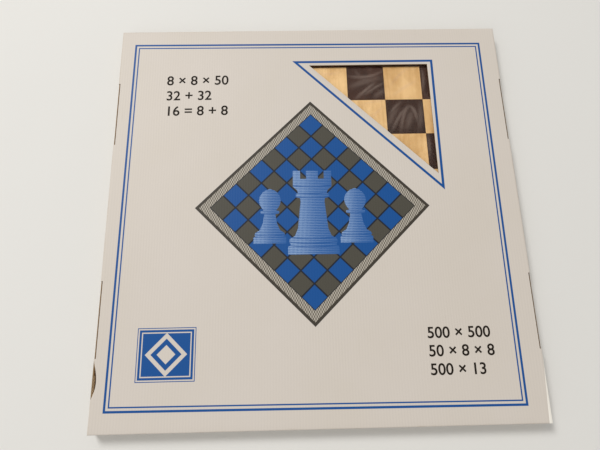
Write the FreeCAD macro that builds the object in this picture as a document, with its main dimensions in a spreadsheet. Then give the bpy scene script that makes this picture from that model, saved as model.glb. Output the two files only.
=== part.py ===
"""A wooden chessboard, wrapped in clear film, in a flat windowed carton of thin corrugated card.

Millimetres. The origin is at the middle of the carton's underside, +Z goes up through the printed
front panel, +X to the right and +Y to the upper edge of the print.
"""
import FreeCAD, Part
import os

import Sketcher

# Driving sizes: name, value in mm, what it is
SIZES = [
    ("square_side", 50.0, "one playing square"),
    ("border_width", 50.0, "border from the squares to the edge of the board"),
    ("board_thickness", 13.0, "board over both veneers"),
    ("veneer", 0.8, "veneer on the front and the back of the core"),
    ("edge_band", 1.2, "strip glued round the core"),
    ("film", 0.2, "clear wrap"),
    ("card", 1.5, "corrugated card"),
    ("side_play", 1.2, "board to each side wall when centred"),
    ("rest_gap", 0.2, "board to the left wall where it lies"),
    ("upper_play", 4.6, "board to the upper wall"),
    ("lower_play", 0.3, "board to the tuck flap"),
    ("head_room", 3.1, "board to the front panel"),
    ("tuck_gap", 1.0, "tuck flap to the lower wall"),
    ("tuck_end_gap", 0.6, "tuck flap to each inner wall"),
    ("tuck_drop", 3.5, "front panel to the edge of the tuck flap"),
    ("tuck_corner", 6.0, "radius of the tuck flap's free corners"),
    ("crease_gap", 0.1, "back panel to the crease beads it swings on"),
    ("flap_length", 60.0, "corner flaps, along the side walls"),
    ("flap_gap", 0.2, "corner flaps to the spine and the front panel"),
    ("wall_end_gap", 0.3, "inner walls to the upper and lower walls"),
    ("joggle_gap", 0.5, "end of a corner flap to the bend in the inner wall"),
    ("joggle_run", 8.0, "length of that bend"),
    ("slot_margin", 10.0, "bend to the notch"),
    ("slot_length", 88.0, "notch for a lock tab"),
    ("slot_gap", 0.3, "lock tab to the sides of its notch"),
    ("slot_drop", 1.2, "outer wall's cut edge below the front panel, in a notch"),
    ("tab_thickness", 0.8, "lock tab, pressed thin to enter its notch"),
    ("tab_recess", 0.6, "end of a lock tab below the printed face"),
    ("fold_radius", 1.2, "outside of the folds round the front panel"),
    ("window_width", 160.3, "window along its upper edge"),
    ("window_height", 158.3, "window along its right edge"),
    ("window_side_inset", 97.3, "window to the right edge of the panel"),
    ("window_top_inset", 55.5, "window to the upper edge of the panel"),
]

SQUARES = 8
FOLD_SHARE = 0.9  # most of the card's thickness that the outside of a fold may take
TOUCH = 1e-4  # an edge as near as this to a plane, in mm, lies on it

# Places worked out from the driving sizes, as expressions
BOARD_HALF = f"({SQUARES} / 2 * sizes.square_side + sizes.border_width)"
WRAPPED_HALF = f"({BOARD_HALF} + sizes.film)"
CORE_HALF = f"({BOARD_HALF} - sizes.edge_band)"
FIELD_HALF = f"({SQUARES} / 2 * sizes.square_side)"

INNER_X = f"({WRAPPED_HALF} + sizes.side_play)"
OUTER_X = f"({INNER_X} + 3 * sizes.card)"
UPPER_REACH = f"({WRAPPED_HALF} + sizes.upper_play + sizes.card)"
LOWER_REACH = f"({WRAPPED_HALF} + sizes.lower_play + 2 * sizes.card + sizes.tuck_gap)"
OUTER_Y = f"(({UPPER_REACH} + {LOWER_REACH}) / 2)"
BOARD_X = "(sizes.rest_gap - sizes.side_play)"
BOARD_Y = f"({OUTER_Y} - {UPPER_REACH})"

WRAP_LOW = "sizes.card"
BOARD_LOW = "(sizes.card + sizes.film)"
BOARD_TOP = f"({BOARD_LOW} + sizes.board_thickness)"
SEAM = f"({BOARD_LOW} + sizes.board_thickness / 2)"
WRAP_TOP = f"({BOARD_TOP} + sizes.film)"
PANEL_LOW = f"({WRAP_TOP} + sizes.head_room)"
PANEL_TOP = f"({PANEL_LOW} + sizes.card)"
SPINE_TOP = "(2 * sizes.card)"

WALL_Y = f"({OUTER_Y} - sizes.card)"
HINGE_Y = f"({OUTER_Y} - sizes.card / 2)"
TUCK_LOW = f"(sizes.card + sizes.tuck_gap - {OUTER_Y})"
TUCK_Y = f"({TUCK_LOW} + sizes.card / 2)"
CREASE_Z = "(sizes.card / 2)"
FOLD = f"min(sizes.fold_radius; {FOLD_SHARE} * sizes.card)"

FLAP_END = f"({WALL_Y} - sizes.flap_length)"
BEND_OUTER = f"({FLAP_END} - sizes.joggle_gap)"
BEND_INNER = f"({BEND_OUTER} - sizes.joggle_run)"
SLOT_OUTER = f"({BEND_INNER} - sizes.slot_margin)"
SLOT_INNER = f"({SLOT_OUTER} - sizes.slot_length)"
TAB_OUTER = f"({OUTER_X} - sizes.card)"
TAB_INNER = f"({TAB_OUTER} - sizes.tab_thickness)"

WINDOW_RIGHT = f"({OUTER_X} - sizes.window_side_inset)"
WINDOW_TOP = f"({OUTER_Y} - sizes.window_top_inset)"

doc = FreeCAD.newDocument("boxed_chessboard")
sheet = doc.addObject("Spreadsheet::Sheet", "sizes")
for row, (alias, value, meaning) in enumerate(SIZES, start=1):
    sheet.set(f"A{row}", alias)
    sheet.set(f"B{row}", str(value))
    sheet.setAlias(f"B{row}", alias)
    sheet.set(f"C{row}", meaning)
doc.recompute()

nodes = {}


def number(expression):
    """Value of an expression in the sizes."""
    return float(sheet.evalExpression(expression))


def both_ways(half):
    """Low and high ends of a span about zero."""
    return f"-{half}", half


def on_side(side, low, high):
    """A span given for the right-hand or upper side, or its mirror image where side is -1."""
    if side > 0:
        return low, high
    return f"-({high})", f"-({low})"


def about(middle, half):
    """A span about a middle."""
    return f"{middle} - {half}", f"{middle} + {half}"


def bind_box(feature, x_span, y_span, z_span):
    """Tie a box feature to its three spans."""
    for axis, side, (low, high) in zip("xyz", ("Length", "Width", "Height"), (x_span, y_span, z_span)):
        feature.setExpression(side, f"({high}) - ({low})")
        feature.setExpression(f"Placement.Base.{axis}", low)
    return feature


def plain_box(label, x_span, y_span, z_span):
    """A free box of the document."""
    return bind_box(doc.addObject("Part::Box", label), x_span, y_span, z_span)


def body_box(body, label, kind, x_span, y_span, z_span):
    """A box added to a body or cut out of it."""
    return bind_box(body.newObject(f"PartDesign::{kind}Box", label), x_span, y_span, z_span)


def crease_bead(body, label, half_length, y_middle):
    """The round of a crease, along X, on the axis that its panel swings about."""
    bead = body.newObject("PartDesign::AdditiveCylinder", label)
    along_x = FreeCAD.Rotation(FreeCAD.Vector(0, 1, 0), 90)
    bead.Placement = FreeCAD.Placement(FreeCAD.Vector(), along_x)
    bead.setExpression("Radius", "sizes.card / 2")
    bead.setExpression("Height", f"2 * {half_length}")
    bead.setExpression("Placement.Base.x", f"-{half_length}")
    bead.setExpression("Placement.Base.y", y_middle)
    bead.setExpression("Placement.Base.z", CREASE_Z)
    return bead


def plan_sketch(body, label, loops):
    """A sketch on the body's XY plane, made of closed loops of straight sides with tied corners."""
    sketch = body.newObject("Sketcher::SketchObject", label)
    plane = next(item for item in body.Origin.OriginFeatures if item.Role == "XY_Plane")
    sketch.AttachmentSupport = [(plane, "")]
    sketch.MapMode = "FlatFace"
    for corners in loops:
        places = [FreeCAD.Vector(number(x), number(y), 0) for x, y in corners]
        first = sketch.GeometryCount
        count = len(corners)
        for index in range(count):
            sketch.addGeometry(Part.LineSegment(places[index], places[(index + 1) % count]), False)
        for index, (x, y) in enumerate(corners):
            side = first + index
            following = first + (index + 1) % count
            sketch.addConstraint(Sketcher.Constraint("Coincident", side, 2, following, 1))
            across = Sketcher.Constraint("DistanceX", -1, 1, side, 1, places[index].x)
            along = Sketcher.Constraint("DistanceY", -1, 1, side, 1, places[index].y)
            for tie, expression in ((across, x), (along, y)):
                place = sketch.addConstraint(tie)
                sketch.setExpression(f"Constraints[{place}]", expression)
    return sketch


def rectangle(x_span, y_span):
    """Corners of a rectangle in plan."""
    left, right = x_span
    low, high = y_span
    return [(left, low), (right, low), (right, high), (left, high)]


def edges_named(shape, chosen):
    """Names of the edges of a shape that a test picks."""
    return [f"Edge{index}" for index, edge in enumerate(shape.Edges, start=1) if chosen(edge)]


def add_fillet(body, label, radius, chosen):
    """Round the picked edges of a body."""
    doc.recompute()
    base = body.Tip
    fillet = body.newObject("PartDesign::Fillet", label)
    fillet.Base = (base, edges_named(base.Shape, chosen))
    fillet.setExpression("Radius", radius)
    return fillet


def new_body(label):
    """A new body that is a sub-part."""
    body = doc.addObject("PartDesign::Body", label)
    nodes[label] = body
    return body


def new_plate(label, x_span, y_span, z_span):
    """A plain rectangular sub-part."""
    nodes[label] = plain_box(label, x_span, y_span, z_span)


def make_front_panel():
    """Printed panel: rounded folds all round, the window, and a notch for each lock tab."""
    body = new_body("front_panel")
    body_box(body, "panel_sheet", "Additive", both_ways(OUTER_X), both_ways(OUTER_Y),
             (PANEL_LOW, PANEL_TOP))
    top = number(PANEL_TOP)
    add_fillet(body, "panel_folds", FOLD, lambda edge: edge.BoundBox.ZMin > top - TOUCH)
    window = [
        (f"{WINDOW_RIGHT} - sizes.window_width", WINDOW_TOP),
        (WINDOW_RIGHT, WINDOW_TOP),
        (WINDOW_RIGHT, f"{WINDOW_TOP} - sizes.window_height"),
    ]
    notches = []
    for side in (-1, 1):
        depth = on_side(side, f"{TAB_INNER} - sizes.slot_gap", f"{OUTER_X} + sizes.card")
        for end in (-1, 1):
            notches.append(rectangle(depth, on_side(end, SLOT_INNER, SLOT_OUTER)))
    openings = body.newObject("PartDesign::Pocket", "panel_openings")
    openings.Profile = plan_sketch(body, "panel_opening_plan", [window] + notches)
    openings.Type = "ThroughAll"
    openings.Reversed = True


def make_end_walls():
    """Upper wall, which swings on its lower edge, and lower wall, which stands on the table."""
    length = both_ways(f"({OUTER_X} - sizes.card)")
    upper = new_body("upper_wall")
    body_box(upper, "upper_sheet", "Additive", length, (WALL_Y, OUTER_Y), (CREASE_Z, PANEL_LOW))
    crease_bead(upper, "upper_crease", f"({OUTER_X} - sizes.card)", HINGE_Y)
    new_plate("lower_wall", length, (f"-{OUTER_Y}", f"-{WALL_Y}"), ("0", PANEL_LOW))


def make_side_wall(name, side):
    """One rolled side wall: outer leaf, the spine it rolls over, and the inner leaf with its tabs."""
    outer = new_body(f"{name}_outer_wall")
    leaf = on_side(side, f"{OUTER_X} - sizes.card", OUTER_X)
    ends = ((-1, "lower"), (1, "upper"))
    body_box(outer, f"{name}_outer_leaf", "Additive", leaf, both_ways(OUTER_Y), (SPINE_TOP, PANEL_LOW))
    for end, word in ends:
        body_box(outer, f"{name}_{word}_slot_edge", "Subtractive", leaf,
                 on_side(end, SLOT_INNER, SLOT_OUTER), (f"{PANEL_LOW} - sizes.slot_drop", PANEL_TOP))

    spine = new_body(f"{name}_roll_spine")
    body_box(spine, f"{name}_spine_strip", "Additive", on_side(side, INNER_X, OUTER_X), both_ways(WALL_Y),
             ("sizes.card", SPINE_TOP))
    spine_low = number("sizes.card")
    add_fillet(spine, f"{name}_spine_folds", FOLD,
               lambda edge: edge.BoundBox.ZMax < spine_low + TOUCH and edge.BoundBox.XLength < TOUCH)

    inner = new_body(f"{name}_inner_wall")
    end_y = f"({WALL_Y} - sizes.wall_end_gap)"
    near_ends = f"{side} * ({OUTER_X} - 2 * sizes.card)"
    midway = f"{side} * ({OUTER_X} - sizes.card)"
    outer_face = [(near_ends, end_y), (near_ends, BEND_OUTER), (midway, BEND_INNER),
                  (midway, f"-{BEND_INNER}"), (near_ends, f"-{BEND_OUTER}"), (near_ends, f"-{end_y}")]
    inner_face = [(f"{x} - {side} * sizes.card", y) for x, y in reversed(outer_face)]
    plan = plan_sketch(inner, f"{name}_inner_plan", [outer_face + inner_face])
    plan.setExpression("AttachmentOffset.Base.z", SPINE_TOP)
    leaf = inner.newObject("PartDesign::Pad", f"{name}_inner_leaf")
    leaf.Profile = plan
    leaf.setExpression("Length", f"{PANEL_LOW} - {SPINE_TOP}")
    for end, word in ends:
        tab_y = on_side(end, f"{SLOT_INNER} + sizes.slot_gap", f"{SLOT_OUTER} - sizes.slot_gap")
        body_box(inner, f"{name}_{word}_tab", "Additive", on_side(side, TAB_INNER, TAB_OUTER), tab_y,
                 (f"{PANEL_LOW} - sizes.card", f"{PANEL_TOP} - sizes.tab_recess"))

    flap_x = on_side(side, f"{OUTER_X} - 2 * sizes.card", f"{OUTER_X} - sizes.card")
    flap_z = (f"{SPINE_TOP} + sizes.flap_gap", f"{PANEL_LOW} - sizes.flap_gap")
    for end, word in ends:
        new_plate(f"{word}_{name}_corner_flap", flap_x, on_side(end, FLAP_END, WALL_Y), flap_z)


def make_back():
    """Back panel on the table, and the flap tucked up behind the lower wall."""
    back_y = (f"{TUCK_LOW} + sizes.card + sizes.crease_gap", f"{WALL_Y} - sizes.crease_gap")
    new_plate("back_panel", both_ways(OUTER_X), back_y, ("0", "sizes.card"))

    tuck = new_body("tuck_flap")
    half = f"({INNER_X} - sizes.tuck_end_gap)"
    edge = f"({PANEL_LOW} - sizes.tuck_drop)"
    body_box(tuck, "tuck_sheet", "Additive", both_ways(half), (TUCK_LOW, f"{TUCK_LOW} + sizes.card"),
             (CREASE_Z, edge))
    crease_bead(tuck, "tuck_crease", half, TUCK_Y)
    low_edge = number(CREASE_Z)
    reach = number(half)

    def at_free_corner(line):
        """Edges through the card at the two corners of the free edge."""
        span = line.BoundBox
        through_card = span.XLength < TOUCH and span.ZLength < TOUCH
        return through_card and span.ZMin > low_edge + TOUCH and abs(span.XMin) > reach - TOUCH

    add_fillet(tuck, "tuck_corners", "sizes.tuck_corner", at_free_corner)


def make_squares():
    """The two sets of veneer squares. Both corners on the long diagonal from lower left are dark."""
    sets = {"light_squares": [], "dark_squares": []}
    depth = (f"{BOARD_TOP} - sizes.veneer", BOARD_TOP)
    for column in range(SQUARES):
        for row in range(SQUARES):
            tone = "dark_squares" if (column + row) % 2 == 0 else "light_squares"
            left = f"{BOARD_X} - {FIELD_HALF} + {column} * sizes.square_side"
            low = f"{BOARD_Y} - {FIELD_HALF} + {row} * sizes.square_side"
            square = plain_box(f"square_{column}_{row}", (left, f"{left} + sizes.square_side"),
                               (low, f"{low} + sizes.square_side"), depth)
            sets[tone].append(square)
    for label, squares in sets.items():
        nodes[label] = doc.addObject("Part::Compound", label)
        nodes[label].Links = squares


def make_border():
    """Four border veneers, mitred at the corners of the board."""
    for label, turn in (("border_upper", 0), ("border_left", 1), ("border_lower", 2), ("border_right", 3)):
        body = new_body(label)
        strip = [(FIELD_HALF, FIELD_HALF), (CORE_HALF, CORE_HALF),
                 (f"-{CORE_HALF}", CORE_HALF), (f"-{FIELD_HALF}", FIELD_HALF)]
        for _ in range(turn):
            strip = [(f"-({y})", x) for x, y in strip]
        pad = body.newObject("PartDesign::Pad", f"{label}_sheet")
        pad.Profile = plan_sketch(body, f"{label}_plan", [strip])
        pad.setExpression("Length", "sizes.veneer")
        body.setExpression("Placement.Base.x", BOARD_X)
        body.setExpression("Placement.Base.y", BOARD_Y)
        body.setExpression("Placement.Base.z", f"{BOARD_TOP} - sizes.veneer")


def make_core():
    """Core, the veneer under it and the strips round its edges."""
    core_x = about(BOARD_X, CORE_HALF)
    core_y = about(BOARD_Y, CORE_HALF)
    new_plate("board_core", core_x, core_y, (f"{BOARD_LOW} + sizes.veneer", f"{BOARD_TOP} - sizes.veneer"))
    new_plate("back_veneer", core_x, core_y, (BOARD_LOW, f"{BOARD_LOW} + sizes.veneer"))
    height = (BOARD_LOW, BOARD_TOP)
    whole_x = about(BOARD_X, BOARD_HALF)
    for label, side in (("edge_band_lower", -1), ("edge_band_upper", 1)):
        low, high = on_side(side, CORE_HALF, BOARD_HALF)
        new_plate(label, whole_x, (f"{BOARD_Y} + {low}", f"{BOARD_Y} + {high}"), height)
    for label, side in (("edge_band_left", -1), ("edge_band_right", 1)):
        low, high = on_side(side, CORE_HALF, BOARD_HALF)
        new_plate(label, (f"{BOARD_X} + {low}", f"{BOARD_X} + {high}"), core_y, height)


def make_film():
    """The wrap: a shallow tray of film over the front and one over the back, meeting half way up."""
    wrapped = (about(BOARD_X, WRAPPED_HALF), about(BOARD_Y, WRAPPED_HALF))
    board = (about(BOARD_X, BOARD_HALF), about(BOARD_Y, BOARD_HALF))
    for label, height, hollow in (
        ("film_front", (SEAM, WRAP_TOP), (f"{SEAM} - sizes.film", BOARD_TOP)),
        ("film_back", (WRAP_LOW, SEAM), (BOARD_LOW, f"{SEAM} + sizes.film")),
    ):
        tray = doc.addObject("Part::Cut", label)
        tray.Base = plain_box(f"{label}_outside", *wrapped, height)
        tray.Tool = plain_box(f"{label}_inside", *board, hollow)
        nodes[label] = tray


make_front_panel()
make_end_walls()
make_side_wall("left", -1)
make_side_wall("right", 1)
make_back()
make_squares()
make_border()
make_core()
make_film()
doc.recompute()

failed = [item.Label for item in doc.Objects if "Invalid" in item.State or "Error" in item.State]
if failed:
    raise RuntimeError(f"not rebuilt: {failed}")
for label, item in nodes.items():
    if item.Shape.isNull() or not item.Shape.isValid() or not item.Shape.Solids:
        raise RuntimeError(f"no valid solid: {label}")

panel = nodes["front_panel"].Shape
sheet_volume = number(f"4 * {OUTER_X} * {OUTER_Y} * sizes.card")
window_volume = number("sizes.window_width * sizes.window_height / 2 * sizes.card")
if panel.Volume > sheet_volume - window_volume:
    raise RuntimeError("the window was not cut")

os.makedirs("parts", exist_ok=True)
for label, item in nodes.items():
    item.Label = label
    item.Shape.exportStep(f"parts/{label}.step")
    print(label, len(item.Shape.Solids), round(item.Shape.Volume, 1))
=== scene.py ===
"""Looks of a boxed chessboard: a printed carton with a window, and the wrapped wooden board inside it."""

import logging
import math
from collections.abc import Callable, Iterator
from contextlib import contextmanager
from dataclasses import dataclass, field
from enum import Enum
from functools import reduce

import bmesh
import bpy
import numpy as np
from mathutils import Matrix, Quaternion, Vector

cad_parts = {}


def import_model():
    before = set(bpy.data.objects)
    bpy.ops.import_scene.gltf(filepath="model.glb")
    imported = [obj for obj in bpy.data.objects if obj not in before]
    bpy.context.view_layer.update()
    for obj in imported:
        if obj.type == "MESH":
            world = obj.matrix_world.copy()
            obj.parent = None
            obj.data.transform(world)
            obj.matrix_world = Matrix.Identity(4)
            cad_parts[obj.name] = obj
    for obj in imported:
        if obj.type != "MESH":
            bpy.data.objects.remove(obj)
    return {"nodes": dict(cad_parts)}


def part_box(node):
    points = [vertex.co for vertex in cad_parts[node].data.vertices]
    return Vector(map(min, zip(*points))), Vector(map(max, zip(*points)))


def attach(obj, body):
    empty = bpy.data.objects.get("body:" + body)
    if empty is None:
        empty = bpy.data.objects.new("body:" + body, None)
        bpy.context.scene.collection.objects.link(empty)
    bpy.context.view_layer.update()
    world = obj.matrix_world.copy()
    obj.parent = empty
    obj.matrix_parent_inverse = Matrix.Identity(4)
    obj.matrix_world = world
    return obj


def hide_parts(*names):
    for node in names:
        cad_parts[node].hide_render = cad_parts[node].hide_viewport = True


LOG = logging.getLogger("boxed_board")
MM = 0.001
CREASE = "crease"

Colour = tuple[float, float, float, float]
Point = tuple[float, float]
Place = tuple[float, float, float]
Piece = bpy.types.Object
Material = bpy.types.Material
Socket = bpy.types.NodeSocket
Feed = Socket | float | tuple
Feeds = dict[str | int, Feed]
Test = Callable[[Vector], bool]


def paint(red: int, green: int, blue: int) -> Colour:
    """Turn a colour as a screen shows it into the linear one that shaders use.

    Args:
        red: Its red, from 0 to 255.
        green: Its green.
        blue: Its blue.

    Returns:
        The opaque colour, in shares from 0 to 1.
    """
    shares = [part / 255 for part in (red, green, blue)]
    linear = [s / 12.92 if s <= 0.04045 else ((s + 0.055) / 1.055) ** 2.4 for s in shares]
    return (linear[0], linear[1], linear[2], 1.0)


class Part(Enum):
    """The kinds of mesh part that can be picked in edit mode."""

    FACE = "FACE"
    EDGE = "EDGE"


class Axis(Enum):
    """An axis of the shared frame, by its place in a vector."""

    X = 0
    Y = 1
    Z = 2


class Facing(Enum):
    """The direction in which a leaf of card shows its white side."""

    UP = (0.0, 0.0, 1.0)
    DOWN = (0.0, 0.0, -1.0)
    BACK = (0.0, 1.0, 0.0)
    FRONT = (0.0, -1.0, 0.0)
    LEFT = (-1.0, 0.0, 0.0)
    RIGHT = (1.0, 0.0, 0.0)

    @property
    def axis(self) -> Axis:
        """The axis along which the leaf's thickness runs."""
        return Axis([abs(part) for part in self.value].index(1.0))


WHITE_PAPER = paint(209, 200, 190)
ALONG_X = Vector((1, 0, 0))
ALONG_Y = Vector((0, 1, 0))


# Modelling by hand


def choose(piece: Piece) -> None:
    """Make one piece the only one selected, and active.

    Args:
        piece: The piece.
    """
    bpy.ops.object.select_all(action="DESELECT")
    piece.select_set(True)
    bpy.context.view_layer.objects.active = piece


@contextmanager
def editing(piece: Piece) -> Iterator[None]:
    """Hold a piece in edit mode with nothing selected.

    Args:
        piece: The piece.
    """
    choose(piece)
    bpy.ops.object.mode_set(mode="EDIT")
    bpy.ops.mesh.select_all(action="DESELECT")
    try:
        yield
    finally:
        bpy.ops.object.mode_set(mode="OBJECT")


def pick(piece: Piece, part: Part, test: Test) -> None:
    """Select the faces or edges of a piece in edit mode by where they are.

    Args:
        piece: The piece that is in edit mode.
        part: Whether faces or edges are picked.
        test: Takes a face's centre, or each end of an edge, and says whether it is wanted.
    """
    bpy.ops.mesh.select_mode(type=part.value)
    bpy.ops.mesh.select_all(action="DESELECT")
    shape = bmesh.from_edit_mesh(piece.data)
    if part is Part.FACE:
        wanted = [face for face in shape.faces if test(face.calc_center_median())]
    else:
        wanted = [edge for edge in shape.edges if all(test(end.co) for end in edge.verts)]
    for found in wanted:
        found.select_set(True)
    bmesh.update_edit_mesh(piece.data)


def cut(piece: Piece, near: Test, through: Vector, normal: Vector) -> None:
    """Bisect the faces of a piece that are near a cut.

    Args:
        piece: The piece that is in edit mode.
        near: Takes a face's centre and says whether the cut may reach it.
        through: A point on the cutting plane.
        normal: The cutting plane's normal.
    """
    pick(piece, Part.FACE, near)
    bpy.ops.mesh.bisect(plane_co=through, plane_no=normal.normalized())


def take_out(piece: Piece, test: Test) -> None:
    """Delete the faces of a piece in edit mode whose centres pass a test."""
    pick(piece, Part.FACE, test)
    bpy.ops.mesh.delete(type="FACE")


def settle(piece: Piece) -> None:
    """Put a piece's place and size into its mesh."""
    choose(piece)
    bpy.ops.object.transform_apply(location=True, rotation=True, scale=True)


def lay_grid(name: str, low: Vector, high: Vector, level: float, cells: int) -> Piece:
    """Lay a flat sheet of cells over a box.

    Args:
        name: The sheet's name.
        low: The box's lowest corner.
        high: Its highest corner.
        level: How high the sheet lies.
        cells: How many cells it has along each side.

    Returns:
        The sheet.
    """
    bpy.ops.object.select_all(action="DESELECT")
    bpy.ops.mesh.primitive_grid_add(
        x_subdivisions=cells,
        y_subdivisions=cells,
        size=1,
        location=((low.x + high.x) / 2, (low.y + high.y) / 2, level),
    )
    sheet = bpy.context.object
    sheet.name = name
    sheet.scale = (high.x - low.x, high.y - low.y, 1)
    settle(sheet)
    return sheet


def finish_with(piece: Piece, kind: str, **settings: object) -> None:
    """Add a modifier to a piece and apply it.

    Args:
        piece: The piece.
        kind: The kind of modifier.
        **settings: Its own settings.
    """
    choose(piece)
    made = piece.modifiers.new(kind.lower(), kind)
    for name, value in settings.items():
        setattr(made, name, value)
    bpy.ops.object.modifier_apply(modifier=made.name)


def points_of(piece: Piece) -> np.ndarray:
    """Read a piece's vertices.

    Args:
        piece: The piece.

    Returns:
        Rows of x, y and z, in metres.
    """
    flat = np.zeros(len(piece.data.vertices) * 3)
    piece.data.vertices.foreach_get("co", flat)
    return flat.reshape(-1, 3)


def move_points(piece: Piece, points: np.ndarray) -> None:
    """Put a piece's vertices at new places, given as rows of x, y and z."""
    piece.data.vertices.foreach_set("co", points.ravel())
    piece.data.update()


def smooth(piece: Piece, degrees: float) -> None:
    """Shade a piece smooth except across edges sharper than an angle."""
    choose(piece)
    bpy.ops.object.shade_smooth_by_angle(angle=math.radians(degrees))


def dress(piece: Piece, material: Material) -> None:
    """Give a piece one material all over."""
    piece.data.materials.clear()
    piece.data.materials.append(material)


def eased(values: np.ndarray, low: float, high: float) -> np.ndarray:
    """Rise smoothly from 0 at one value to 1 at another."""
    share = np.clip((values - low) / (high - low), 0, 1)
    return share * share * (3 - 2 * share)


def sides_of(corners: tuple[Point, ...]) -> list[tuple[Vector, Vector]]:
    """The sides of an outline whose corners run clockwise.

    Args:
        corners: The outline's corners.

    Returns:
        Each side's first corner and its outward normal.
    """
    found = []
    for start, end in zip(corners, corners[1:] + corners[:1]):
        along = Vector(end) - Vector(start)
        found.append((Vector(start), Vector((-along.y, along.x)).normalized()))
    return found


# Wiring of finishes


@dataclass(frozen=True)
class Noise:
    """Smooth noise over a surface.

    Attributes:
        scale: How many features there are in a millimetre.
        detail: How many finer layers it has.
        rough: How strong the finer layers are.
        by: How much closer its features lie along each axis.
        rise: Where it starts to count and where it counts in full, or nothing to take it as it is.
    """

    scale: float
    detail: float
    rough: float = 0.5
    by: Place | None = None
    rise: Point | None = None


class Graph:
    """Adds nodes to one shader tree and joins them."""

    def __init__(self, tree: bpy.types.NodeTree) -> None:
        """Keep the tree that the nodes go into."""
        self.tree = tree

    def feed(self, socket: Socket, value: Feed) -> None:
        """Join a socket to an output, or set a constant on it.

        Args:
            socket: The socket.
            value: The output or the constant.
        """
        if isinstance(value, Socket):
            self.tree.links.new(value, socket)
        else:
            socket.default_value = value

    def node(self, kind: str, feeds: Feeds | None = None, **settings: object) -> bpy.types.Node:
        """Add a node.

        Args:
            kind: The kind of node.
            feeds: What goes into its inputs, by their names or places.
            **settings: Its own settings.

        Returns:
            The node.
        """
        made = self.tree.nodes.new(kind)
        for name, value in settings.items():
            setattr(made, name, value)
        for key, value in (feeds or {}).items():
            self.feed(made.inputs[key], value)
        return made

    def calc(self, operation: str, *values: Feed) -> Socket:
        """Do one step of arithmetic, by the Math node's name for it."""
        return self.node("ShaderNodeMath", dict(enumerate(values)), operation=operation).outputs[0]

    def times(self, *values: Feed) -> Socket:
        """Multiply some numbers."""
        return reduce(lambda one, other: self.calc("MULTIPLY", one, other), values)

    def most(self, *values: Feed) -> Socket:
        """The largest of some numbers."""
        return reduce(lambda one, other: self.calc("MAXIMUM", one, other), values)

    def plus(self, first: Feed, second: Feed) -> Socket:
        """Add two numbers."""
        return self.calc("ADD", first, second)

    def minus(self, first: Feed, second: Feed) -> Socket:
        """Take the second number from the first."""
        return self.calc("SUBTRACT", first, second)

    def scaled(self, value: Feed, by: Feed, more: Feed) -> Socket:
        """Multiply a number, then add to it."""
        return self.calc("MULTIPLY_ADD", value, by, more)

    def size(self, value: Feed) -> Socket:
        """A number without its sign."""
        return self.calc("ABSOLUTE", value)

    def wave(self, value: Feed, pitch: float) -> Socket:
        """A sine wave of some pitch along a distance."""
        return self.calc("SINE", self.times(value, 2 * math.pi / pitch))

    def between(self, value: Feed, low: Feed, high: Feed) -> Socket:
        """Rise in a straight line from 0 at the low value to 1 at the high one, which may be the lower."""
        feeds = {"Value": value, "From Min": low, "From Max": high}
        return self.node("ShaderNodeMapRange", feeds).outputs["Result"]

    def mix(self, share: Feed, first: Feed, second: Feed) -> Socket:
        """Mix two colours: the first where the share is 0, the second where it is 1."""
        return self.node("ShaderNodeMix", {0: share, 6: first, 7: second}, data_type="RGBA").outputs[2]

    def level(self, share: Feed, first: Feed, second: Feed) -> Socket:
        """Mix two numbers: the first where the share is 0, the second where it is 1."""
        return self.node("ShaderNodeMix", {0: share, 2: first, 3: second}, data_type="FLOAT").outputs[0]

    def over(self, colour: Feed, mask: Feed, top: Feed, strength: float) -> Socket:
        """Lay a colour over the first one where a mask is, at some strength."""
        return self.mix(self.times(mask, strength), colour, top)

    def vector(self, x: Feed, y: Feed, z: Feed = 0.0) -> Socket:
        """Put three numbers together as a vector."""
        return self.node("ShaderNodeCombineXYZ", {0: x, 1: y, 2: z}).outputs[0]

    def parts(self, vector: Socket) -> tuple[Socket, ...]:
        """Take a vector apart into three numbers."""
        return tuple(self.node("ShaderNodeSeparateXYZ", {0: vector}).outputs)

    def stretch(self, vector: Socket, by: Place) -> Socket:
        """Multiply a vector by a number along each axis."""
        return self.node("ShaderNodeVectorMath", {0: vector, 1: by}, operation="MULTIPLY").outputs[0]

    def noise(self, place: Socket, kind: Noise) -> Socket:
        """Take noise at a place.

        Args:
            place: The place, in millimetres.
            kind: The noise.

        Returns:
            The noise, from 0 to 1 about a half, or the share by which it counts.
        """
        feeds = {"Scale": kind.scale, "Detail": kind.detail, "Roughness": kind.rough}
        feeds["Vector"] = self.stretch(place, kind.by) if kind.by else place
        made = self.node("ShaderNodeTexNoise", feeds).outputs[0]
        return self.between(made, *kind.rise) if kind.rise else made

    def use(self, effect: "Effect", **values: Feed) -> bpy.types.NodeOutputs:
        """Place a shared effect, with what goes into its inputs by name, and take its outputs."""
        return self.node("ShaderNodeGroup", values, node_tree=effect.tree).outputs


class Effect:
    """A shader node group that finishes share.

    Each kind of effect has its own name, and the names and kinds of what it takes and gives.
    """

    SOCKETS = {"value": "NodeSocketFloat", "vector": "NodeSocketVector", "colour": "NodeSocketColor"}
    NAME = ""
    TAKES: dict[str, str] = {}
    GIVES: dict[str, str] = {}

    def __init__(self) -> None:
        """Make the group, its sockets and its nodes."""
        self.tree = bpy.data.node_groups.new(self.NAME, "ShaderNodeTree")
        for way, sockets in (("INPUT", self.TAKES), ("OUTPUT", self.GIVES)):
            for label, kind in sockets.items():
                self.tree.interface.new_socket(name=label, in_out=way, socket_type=self.SOCKETS[kind])
        self.graph = Graph(self.tree)
        self.taken = self.graph.node("NodeGroupInput").outputs
        self.given = self.graph.node("NodeGroupOutput").inputs
        self.wire()

    def wire(self) -> None:
        """Add the effect's own nodes."""
        raise NotImplementedError

    def give(self, **values: Feed) -> None:
        """Join what the effect has worked out to its outputs."""
        for name, value in values.items():
            self.graph.feed(self.given[name], value)


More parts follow.
